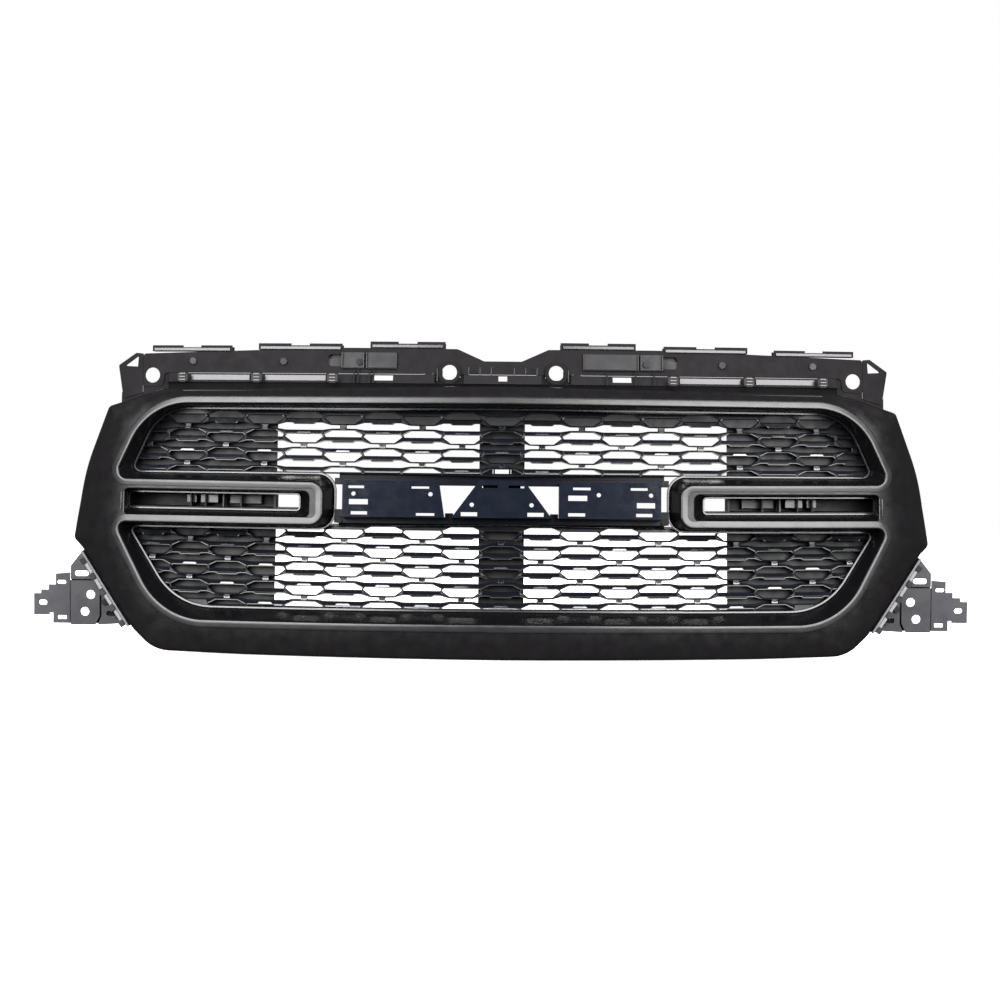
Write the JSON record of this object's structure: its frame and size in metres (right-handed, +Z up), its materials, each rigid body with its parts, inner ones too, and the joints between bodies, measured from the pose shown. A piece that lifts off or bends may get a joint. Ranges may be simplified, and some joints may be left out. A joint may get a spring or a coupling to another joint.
{
  "type": "vehicle front grille",
  "caption": "Wide black pickup front grille: moulded surround with hexagonal mesh, slotted side arms, bare emblem pads, hooked top panel and slotted lower side brackets.",
  "frame": {"origin": "centre of the bounding box in x and y, at its lowest z", "axes": "+X to the viewer's right when facing the front, +Y rearwards into the vehicle, +Z up"},
  "size_m": [1.454, 0.2132, 0.4665],
  "materials": {
    "shell_satin": "satin moulded black",
    "ring_gloss": "semi-gloss black",
    "mesh_gloss": "gloss black",
    "carrier_gloss": "gloss blue-black",
    "backing_dark": "matte black",
    "panel_textured": "fine grained",
    "shelf_smooth": "smooth satin",
    "bracket_grey": "unpainted moulded grey",
    "seal_foam": "open cell foam",
    "strip_pale": "matte",
    "clip_black": "smooth",
    "fastener_zinc": "black zinc",
    "nut_steel": "phosphated"
  },
  "bodies": {
    "root": {"bracket_screws": "fastener_zinc", "bracket_web_left": "bracket_grey", "bracket_web_right": "bracket_grey", "carrier_screws": "fastener_zinc", "centre_post_lower": "backing_dark", "centre_post_upper": "backing_dark", "channel_clips": "clip_black", "channel_shelf_centre": "shelf_smooth", "channel_shelf_left": "shelf_smooth", "channel_shelf_right": "shelf_smooth", "edge_strip_left": "strip_pale", "edge_strip_right": "strip_pale", "edge_ties_left": "clip_black", "edge_ties_right": "clip_black", "emblem_carrier": "carrier_gloss", "emblem_pad_centre": "carrier_gloss", "emblem_pad_left": "carrier_gloss", "emblem_pad_right": "carrier_gloss", "foam_seal_left": "seal_foam", "foam_seal_right": "seal_foam", "hook_frame_left_1": "panel_textured", "hook_frame_left_2": "panel_textured", "hook_frame_left_3": "panel_textured", "hook_frame_right_1": "panel_textured", "hook_frame_right_2": "panel_textured", "hook_frame_right_3": "panel_textured", "locating_tabs": "clip_black", "lower_blank_left": "backing_dark", "lower_blank_right": "backing_dark", "lower_mesh": "mesh_gloss", "lower_stiffener": "backing_dark", "lower_triangle_left": "bracket_grey", "lower_triangle_right": "bracket_grey", "opening_ring": "ring_gloss", "outer_plate_left": "bracket_grey", "outer_plate_right": "bracket_grey", "outer_shell": "shell_satin", "overlay_plate_left": "bracket_grey", "overlay_plate_right": "bracket_grey", "panel_screws": "fastener_zinc", "shell_edge_flange": "shell_satin", "slot_duct_left": "backing_dark", "slot_duct_right": "backing_dark", "slot_ring_left": "ring_gloss", "slot_ring_right": "ring_gloss", "spring_nuts": "nut_steel", "top_panel": "panel_textured", "top_wing_left": "panel_textured", "top_wing_right": "panel_textured", "upper_blank_left": "backing_dark", "upper_blank_right": "backing_dark", "upper_mesh": "mesh_gloss", "upper_stiffener": "backing_dark", "upper_triangle_left": "bracket_grey", "upper_triangle_right": "bracket_grey"}
  },
  "joints": []
}
